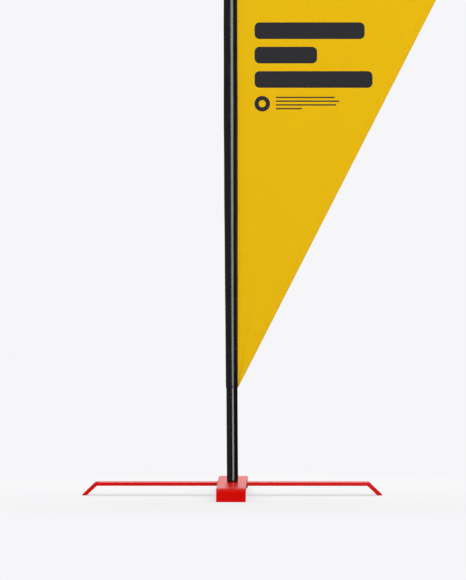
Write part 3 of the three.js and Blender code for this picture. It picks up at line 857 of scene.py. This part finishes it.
def on_edge(distance, inwards=0.0):
    """A point on the sail's free edge, that far from the tack, moved inwards."""
    distance, inwards = (np.asarray(value, float)[..., None] for value in (distance, inwards))
    return TACK + distance * EDGE_DIRECTION + inwards * INTO_SAIL


def billow(u, v, row_length):
    """How far behind its plane the sail lies: u runs from tack to clew, v from seam to free edge."""
    s = SAIL_START + u * (SAIL_END - SAIL_START)
    from_seam = v * row_length
    held = smooth_step(v, 0, 0.12) * (1 - smooth_step(v, 0.85, 1.0))
    belly = BELLY * np.sin(np.pi * np.clip(u, 0, 1)) ** 1.5 * np.sin(np.pi * v)
    drift = DRIFT * np.sin(7.0 * u + 3.1 * v + 0.6) * np.sin(5.3 * v - 2.2 * u)
    folds = 0
    for slope, fade, count, shift, away in ((*TACK_FOLDS, u), (*CLEW_FOLDS, 1 - u)):
        distance = away * EDGE_LENGTH
        folds = folds + slope * distance * np.exp(-distance / fade) * np.cos(TURN * (count * v + shift))
    puckers = PUCKERS * np.sin(TURN * s / 0.026 + 1.7 * np.sin(TURN * s / 0.17))
    puckers = puckers * np.exp(-from_seam / 0.016) * smooth_step(from_seam, 0, 0.003)
    return belly + (drift + folds) * held + puckers


def slab(middle_surface, thickness):
    """A thin closed sheet about a grid of points, its two faces half a thickness in front and behind."""
    rows, columns = middle_surface.shape[:2]
    count = rows * columns
    offset = np.array((0, thickness / 2, 0))
    points = np.concatenate([middle_surface - offset, middle_surface + offset]).reshape(-1, 3)
    front = grid_faces(rows, columns, wrap_columns=False)
    index = np.arange(count).reshape(rows, columns)
    border = np.concatenate([index[0], index[1:, -1], index[-1, -2::-1], index[-2:0:-1, 0]])
    following = np.roll(border, -1)
    rim = np.stack([border, border + count, following + count, following], axis=-1)
    return points, np.concatenate([front, front[:, ::-1] + count, rim]).tolist()


def sail_grid():
    u = np.linspace(0.0012, 0.9988, SAIL_ROWS)[:, None]
    v = np.linspace(0, 1, SAIL_COLUMNS)[None, :]
    s = SAIL_START + u * (SAIL_END - SAIL_START)
    seam = beside_pole(s, sleeve_width(s) - SEAM_TUCK)
    edge = on_edge(u * EDGE_LENGTH)
    flat = seam + (edge - seam) * v[..., None]
    row_length = np.linalg.norm(edge - seam, axis=-1)
    flat[..., 1] = billow(u, v, row_length)
    return flat


SAIL_OUTLINE = seam_point(np.linspace(SAIL_START, SAIL_END, 800)) - TACK


sail = piece("sail", slab(sail_grid(), SAIL_THICKNESS), "sail_cloth", "sail_panel")
sail_tree = BVHTree.FromPolygons(
    [vertex.co for vertex in sail.data.vertices], [polygon.vertices for polygon in sail.data.polygons]
)


def against_sail(flat, side, clear=0.0):
    """Moves points in the flag's plane onto the sail's rear (side 1) or front (side -1) face."""
    laid = np.array(flat, float)
    for point in laid.reshape(-1, 3):
        start = Vector((point[0], side * 0.1, point[2]))
        hit = sail_tree.ray_cast(start, Vector((0, -side, 0)))[0]
        if hit is None:
            hit = sail_tree.find_nearest((point[0], 0, point[2]))[0]
        point[1] = hit.y + side * clear
    return laid


def laid_sheet(name, flat, node):
    """A second layer of sailcloth sewn on the sail's rear face."""
    surface = against_sail(flat, 1, PATCH_THICKNESS / 2 + 0.00005)
    return piece(name, slab(surface, PATCH_THICKNESS), "sail_cloth", node)


def between(first, second, columns):
    """A grid of points from one line of points to another."""
    share = np.linspace(0, 1, columns)[None, :, None]
    return first[:, None, :] * (1 - share) + second[:, None, :] * share


def free_edge_hem():
    along = np.linspace(TACK_PATCH_LENGTH, EDGE_LENGTH - CLEW_PATCH_LENGTH, 320)
    flat = between(on_edge(along, PATCH_INSET), on_edge(along, HEM_WIDTH), 8)
    return laid_sheet("edge_hem", flat, "free_edge_hem")


def corner_patches():
    along = np.linspace(0.006, TACK_PATCH_LENGTH - 0.001, 40)
    s = SAIL_START + np.linspace(0.008, TACK_PATCH_LENGTH, 40)
    flat = between(on_edge(along, PATCH_INSET), seam_point(s) + (FIT, 0, 0), 24)
    tack = laid_sheet("tack_corner_patch", flat, "tack_patch")
    along = EDGE_LENGTH - np.linspace(CLEW_PATCH_LENGTH - 0.001, 0.004, 40)
    s = SAIL_END - np.linspace(CLEW_PATCH_LENGTH, 0.004, 40)
    flat = between(on_edge(along, PATCH_INSET), beside_pole(s, sleeve_width(s) + 0.0008), 24)
    return tack, laid_sheet("clew_corner_patch", flat, "clew_patch")


hem = free_edge_hem()
tack_corner, clew_corner = corner_patches()

# ---- stitching ----

STITCH_PITCH = 0.0035
STITCH_RADIUS = 0.00022
SEAM_ROW_TURNS = (0.42, 0.56)  # how far round the sleeve from the sail, in radians
# places along a stitch, then its thickness and its rise off the cloth there, in thread radii
STITCH_PROFILE = [[0.08, 0.2, 0.5, 0.8, 0.92], [0.35, 0.9, 1.0, 0.9, 0.35], [-0.5, 0.2, 0.6, 0.2, -0.5]]


def stitch_shells(points, out):
    """One short curved thread between each point of a row and the next. out points off the cloth."""
    start, ahead = points[:-1], points[1:] - points[:-1]
    out = np.broadcast_to(out, points.shape)[:-1]
    sideways = unit(np.cross(ahead, out))
    t, thick, rise = (np.array(row)[None, :, None, None] for row in STITCH_PROFILE)
    cosine, sine = (part[None, None, :, None] for part in circle(6))
    start, ahead, out, sideways = (v[:, None, None, :] for v in (start, ahead, out, sideways))
    across = thick * (sideways * cosine + out * sine)
    threads = start + t * ahead + STITCH_RADIUS * (out * rise + across)
    return [loft(thread) for thread in threads]


def stitches(name, rows, slot, paint):
    shells = [shell for points, out in rows for shell in stitch_shells(points, out)]
    return piece(name, joined(shells), slot, paint=paint, crease=80.0)


def sleeve_row(s, turn):
    """Places down the sleeve, and the way off its surface at each of them."""
    heading, across = heading_at(s), math.cos(turn)
    out = xyz(across * np.cos(heading), math.sin(turn), -across * np.sin(heading))
    return sleeve_surface(s, turn, 0.0001), out


def seam_stitches():
    """Two rows down each face of the sleeve beside the sail, and one round its mouth."""
    start, end = SLEEVE_START + 0.004, POCKET_START - 0.004
    s = np.linspace(start, end, round((end - start) / STITCH_PITCH))
    rows = [sleeve_row(s, face * turn) for face in (1, -1) for turn in SEAM_ROW_TURNS]
    turn = np.linspace(0.3, TURN - 0.3, 24)
    mouth = sleeve_surface(SLEEVE_START + MOUTH_HEM - 0.002, turn, 0.0005)
    rows.append((mouth, xyz(np.cos(turn), np.sin(turn), 0.0)))
    return stitches("sleeve_stitches", rows, "sleeve_cloth", "black_thread")


def row_on_sail(start, end, side, clear):
    """A straight row from one point of the flag's plane to another, on one face of the sail."""
    count = max(2, round(float(np.linalg.norm(end - start)) / STITCH_PITCH))
    share = np.linspace(0, 1, count)[:, None]
    return against_sail(start * (1 - share) + end * share, side, clear), (0, side, 0)


def sail_stitches():
    """Rows along the hem and round the corner patches, on both faces."""
    lines = []
    for inwards in (0.0025, HEM_WIDTH - 0.002):
        lines.append((on_edge(0.02, inwards), on_edge(EDGE_LENGTH - 0.02, inwards)))
    for gap in (0.002, 0.006):
        tack, clew = TACK_PATCH_LENGTH - gap, CLEW_PATCH_LENGTH - gap
        ends = [(SAIL_START + tack, tack - 0.001), (SAIL_END - clew, EDGE_LENGTH - clew + 0.001)]
        for s, along in ends:
            lines.append((beside_pole(s, sleeve_width(s) + 0.003), on_edge(along, 0.002)))
    rows = []
    for side, clear in ((1, PATCH_THICKNESS + 0.0001), (-1, 0.0001)):
        rows += [row_on_sail(*line, side, clear) for line in lines]
    return stitches("sail_stitches", rows, "sail_cloth", "yellow_thread")


sleeve_sewing = seam_stitches()
sail_sewing = sail_stitches()

# ---- tensioner ----


def anchor_hook():
    """A bent plate, hollowed to the pole's round back where it is riveted on."""
    back, out = HOOK_LOW.y, HOOK_HIGH.y
    low, top, gauge = HOOK_LOW.z, HOOK_HIGH.z, HOOK_GAUGE
    tip = top - HOOK_DROP
    corners = [(back, low), (back + gauge, low), (back + gauge, top - gauge), (out - gauge, top - gauge)]
    corners += [(out - gauge, tip), (out, tip), (out, top), (back, top)]
    sharp, inside, end, outside = 0.0003, 0.0012, 0.0009, 0.0031
    outline = filleted(corners, [sharp, sharp, inside, inside, end, end, outside, outside], steps=6)
    places = [outline[0]]
    for point in np.concatenate([outline[1:], outline[:1]]):
        steps = max(1, int(np.linalg.norm(point - places[-1]) / 0.002))
        places += [places[-1] + (point - places[-1]) * k / steps for k in range(1, steps + 1)]
    y, z = np.array(places[:-1]).T
    half = (HOOK_HIGH.x - HOOK_LOW.x) / 2
    x = half * np.sin(np.linspace(-math.pi / 2, math.pi / 2, 21))[:, None]
    hollow = (back - np.sqrt(back**2 - x**2)) * (1 - smooth_step(z, top - 0.012, top - 0.004))
    eased_sides = np.where(np.abs(x) > 0.97 * half, 0.0002, 0.0) * np.sign(np.mean(y) - y)
    rings = xyz(middle("anchor_hook").x + x, y - hollow + eased_sides, z)
    piece("hook", loft(rings), "zinc_steel", "anchor_hook")


def rivet(name, node):
    """A round head with a shank that goes into the pole, turned and then laid along Y."""
    low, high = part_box(node)
    centre = middle(node)
    head, shank = (high.x - low.x) / 2, 0.0019
    base = HOOK_LOW.y + HOOK_GAUGE + 0.0001
    dome = [(head * math.cos(a), base + (high.y - base) * math.sin(a)) for a in np.linspace(0.12, 1.53, 12)]
    profile = [(shank * 0.9, low.y), (shank, low.y + 0.0004), (shank, base), (head - 0.0002, base), *dome]
    points, faces = turned(profile, 48, closed=False)
    x, y, z = points.T
    piece(name, (xyz(centre.x + x, z, centre.z - y), faces), "zinc_steel", node)


def closed_spline(points, count):
    """A smooth closed line through points, as evenly spaced places along a Catmull-Rom curve."""
    points = np.array(points, float)
    t = np.linspace(0, 1, 40, endpoint=False)[:, None]
    places = []
    for index in range(len(points)):
        p0, p1, p2, p3 = (points[(index + shift) % len(points)] for shift in (-1, 0, 1, 2))
        curve = 2 * p1 + (p2 - p0) * t + (2 * p0 - 5 * p1 + 4 * p2 - p3) * t**2
        places.append((curve + (3 * p1 - p0 - 3 * p2 + p3) * t**3) / 2)
    return evenly(np.concatenate([*places, places[0][:1]]), count, endpoint=False)[1]


def wire(line, radius, sides=20):
    """Rings round a closed line."""
    ahead = unit(np.roll(line, -1, axis=0) - np.roll(line, 1, axis=0))
    first = unit(np.cross(ahead, (0, 1.0, 0.05)))
    second = np.cross(ahead, first)
    cosine, sine = (part[None, :, None] for part in circle(sides))
    return line[:, None, :] + radius * (first[:, None, :] * cosine + second[:, None, :] * sine)


def tension_ring():
    """A D-shaped ring: a straight bar on top for the webbing, and a round bow below."""
    half_width = (RING_HIGH.x - RING_LOW.x) / 2 - RING_WIRE
    bar_z, bottom_z = RING_HIGH.z - RING_WIRE, RING_LOW.z + RING_WIRE
    centre = middle("tension_ring")
    half = [(0.62, 0), (0.88, -0.0008), (1, -0.0032), (0.92, -0.007), (0.61, -0.011)]
    right = [(share * half_width, bar_z + drop) for share, drop in half]
    left = [(-x, z) for x, z in reversed(right)]
    outline = [(0, bar_z), *right, (0, bottom_z), *left]
    line = closed_spline([(centre.x + x, centre.y, z) for x, z in outline], 160)
    piece("d_ring", loft(wire(line, RING_WIRE), closed=True), "zinc_steel", "tension_ring")


CORD_RADIUS = 0.00175
CORD_LENGTH = 0.12  # of the loop, near enough for its braid


def elastic_loop():
    """The elastic hooks under the anchor, rises on both sides and passes over the ring's lower bar."""
    low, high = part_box("elastic_loop")
    ring_y, ring_z = middle("tension_ring").y, RING_LOW.z + RING_WIRE
    hook_y = (HOOK_LOW.y + HOOK_HIGH.y) / 2
    hook_z = HOOK_HIGH.z - HOOK_GAUGE - FIT - CORD_RADIUS
    side = (high.x - low.x) / 2 - CORD_RADIUS
    over = RING_WIRE + CORD_RADIUS + 0.0005
    right, left = (
        [
            (way * 0.5 * side, hook_y, hook_z),
            (way * side, hook_y, hook_z + 0.0015),
            (way * side, hook_y, HOOK_HIGH.z + 0.004),
            (way * 0.0016, ring_y + way * over, ring_z - 0.002),
            (way * 0.0006, ring_y + way * 0.8 * over, ring_z + 0.75 * over),
        ]
        for way in (1, -1)
    )
    line = closed_spline([*right, (0, ring_y, ring_z + over + FIT), *reversed(left)], 220)
    line[:, 0] += middle("elastic_loop").x
    thing = piece("elastic", loft(wire(line, CORD_RADIUS, 24), closed=True), "elastic_cord", "elastic_loop")
    around = np.linspace(0, TURN * CORD_RADIUS, 24, endpoint=False)[None, :]
    along = np.linspace(0, CORD_LENGTH, len(line))[:, None]
    store_cloth(thing, around + along, along - around)


def tension_webbing():
    """Webbing folded round the ring's bar, its two legs sewn together to the sleeve's back."""
    bar_y, bar_z, top = middle("tension_ring").y, RING_HIGH.z - RING_WIRE, STRAP_HIGH.z
    bend = RING_WIRE + 0.0005 + STRAP_THICKNESS / 2
    inner = float(sleeve_depth(0.25)) + 0.0005 + STRAP_THICKNESS / 2
    outer = inner + STRAP_THICKNESS + 0.0001
    angles = np.linspace(math.pi, TURN, 16)
    fold = [(bar_y + bend * math.cos(a), bar_z + bend * math.sin(a)) for a in angles]
    front = [(inner, top), (inner, bar_z + 0.028), (bar_y - bend, bar_z + 0.008)]
    rear = [(bar_y + bend, bar_z + 0.002), (outer, bar_z + 0.028), (outer, top)]
    radii = [0, 0.02, 0, *(0 for _ in fold), 0, 0.01, 0]
    along, line = evenly(filleted(front + fold + rear, radii, steps=10, closed=False), 150)
    ahead = unit(np.gradient(line, axis=0))
    wide, thick = (STRAP_HIGH.x - STRAP_LOW.x) / 2, STRAP_THICKNESS / 2
    corners = [(-wide, -thick), (wide, -thick), (wide, thick), (-wide, thick)]
    sideways, off = filleted(corners, 0.0004, steps=3).T[:, None, :]
    y = line[:, 0, None] - off * ahead[:, 1, None]
    z = line[:, 1, None] + off * ahead[:, 0, None]
    rings = xyz(middle("tension_webbing").x + sideways, y, z)
    thing = piece("pull_strap", loft(rings), "webbing", "tension_webbing")
    store_cloth(thing, sideways, along[:, None])
    return thing, outer + STRAP_THICKNESS / 2


def strap_stitches(face_y):
    """A box with a cross through it, sewn through the strap's two legs."""
    centre_x, half = middle("tension_webbing").x, 0.0042
    low, high = STRAP_HIGH.z - 0.03, STRAP_HIGH.z - 0.003
    corners = [(-half, low), (half, low), (half, high), (-half, high)]
    rows = []
    for start, end in ((0, 1), (1, 2), (2, 3), (3, 0), (0, 2), (1, 3)):
        (x0, z0), (x1, z1) = corners[start], corners[end]
        share = np.linspace(0, 1, max(3, round(math.hypot(x1 - x0, z1 - z0) / 0.0027)))
        points = xyz(centre_x + x0 + (x1 - x0) * share, face_y + 0.0001, z0 + (z1 - z0) * share)
        rows.append((points, (0, 1.0, 0)))
    return stitches("strap_stitches", rows, "webbing", "black_thread")


anchor_hook()
rivet("lower_rivet", "hook_lower_rivet")
rivet("upper_rivet", "hook_upper_rivet")
tension_ring()
elastic_loop()
strap, strap_face = tension_webbing()
strap_sewing = strap_stitches(strap_face)

# ---- studio ----

BACKDROP = (0.9215, 0.9215, 0.9387)
ROOM_DIFFUSE = 0.4  # the room as matt surfaces see it, and as gloss does
ROOM_GLOSSY = 0.02
FLOOR_NEAR = 0.35  # radius of the floor that takes light and shade
FLOOR_FAR = 1.15  # radius from which it shows the backdrop's colour
FLOOR_GLOW = 0.65  # share of the backdrop's colour in the lit part, which keeps the shade light


def set_world():
    """The room shows a backdrop to the camera, and is dimmer in matt surfaces and in gloss."""
    world = bpy.data.worlds.new("studio")
    bpy.context.scene.world = world
    world.use_nodes = True
    world.cycles.sampling_method = "NONE"
    tree = world.node_tree
    rays = add_node(tree, "LightPath", {}).outputs
    shown = tree.nodes["Background"]
    shown.inputs["Color"].default_value = (*(ROOM_GLOSSY,) * 3, 1)
    for ray, color in (("Is Diffuse Ray", (ROOM_DIFFUSE,) * 3), ("Is Camera Ray", BACKDROP)):
        seen = add_node(tree, "Background", {"Color": (*color, 1)})
        shown = add_node(tree, "MixShader", {0: rays[ray], 1: shown.outputs[0], 2: seen.outputs[0]})
    tree.links.new(shown.outputs[0], tree.nodes["World Output"].inputs[0])


def floor_material():
    """Lit like any surface near the flag, and the backdrop's own colour farther out."""
    paint = Paint((0.6, 0.6, 0.61), Roughness=0.9, Specular_IOR_Level=0.0)
    paint.material.cycles.emission_sampling = "NONE"
    radius = paint.distance(paint.node("TexCoord", {}).outputs["Object"])
    far = paint.remap(radius, FLOOR_NEAR, FLOOR_FAR, FLOOR_GLOW)
    glow = paint.node("Emission", {"Color": (*BACKDROP, 1.0)}).outputs[0]
    shown = paint.math("MULTIPLY", far, paint.node("LightPath", {}).outputs["Is Camera Ray"])
    mix = paint.node("MixShader", {0: shown, 1: paint.shader.outputs[0], 2: glow}).outputs[0]
    paint.tree.links.new(mix, paint.tree.nodes["Material Output"].inputs["Surface"])
    return paint.material


def add_floor():
    points, faces = turned([(0.001, 0), (FLOOR_NEAR, 0), (FLOOR_FAR, 0), (60.0, 0)], 96, closed=False)
    floor = add_mesh("floor", (points, faces[:-2]))
    floor.location.z = -0.0002
    floor.data.materials.append(floor_material())
    floor.visible_glossy = False


def add_light(name, azimuth, distance, height, size, radiance, aim_height, lights_matt=True, mirrored=True):
    """A soft box. Azimuth is in degrees from the front (-Y) towards +X; size is its width and height."""
    data = bpy.data.lights.new(name, "AREA")
    data.shape = "RECTANGLE"
    data.size, data.size_y = size
    data.energy = radiance * math.pi * size[0] * size[1]
    light = add_to_scene(bpy.data.objects.new(name, data))
    light.visible_camera = False
    light.visible_diffuse = lights_matt
    light.visible_glossy = mirrored
    turn = math.radians(azimuth)
    light.location = (distance * math.sin(turn), -distance * math.cos(turn), height)
    aim = Vector((0, 0, aim_height)) - light.location
    light.rotation_euler = aim.to_track_quat("-Z", "Y").to_euler()
    return light


set_world()
add_floor()
add_light("key", 19, 6.0, 2.5, (3.4, 6.0), 6.3, aim_height=2.5, mirrored=False)
add_light("stripe", 19, 5.9, 2.5, (3.3, 6.0), 14.0, aim_height=2.5, lights_matt=False)
add_light("left", -75, 6.0, 2.0, (15.0, 6.0), 0.35, aim_height=2.0)
add_light("behind", 180, 7.0, 3.4, (1.4, 6.0), 1.3, aim_height=3.4, lights_matt=False)
add_light("above", 180, 3.8, 3.5, (6.0, 3.6), 6.4, aim_height=0.0, mirrored=False)
bpy.context.scene.view_settings.view_transform = "Standard"
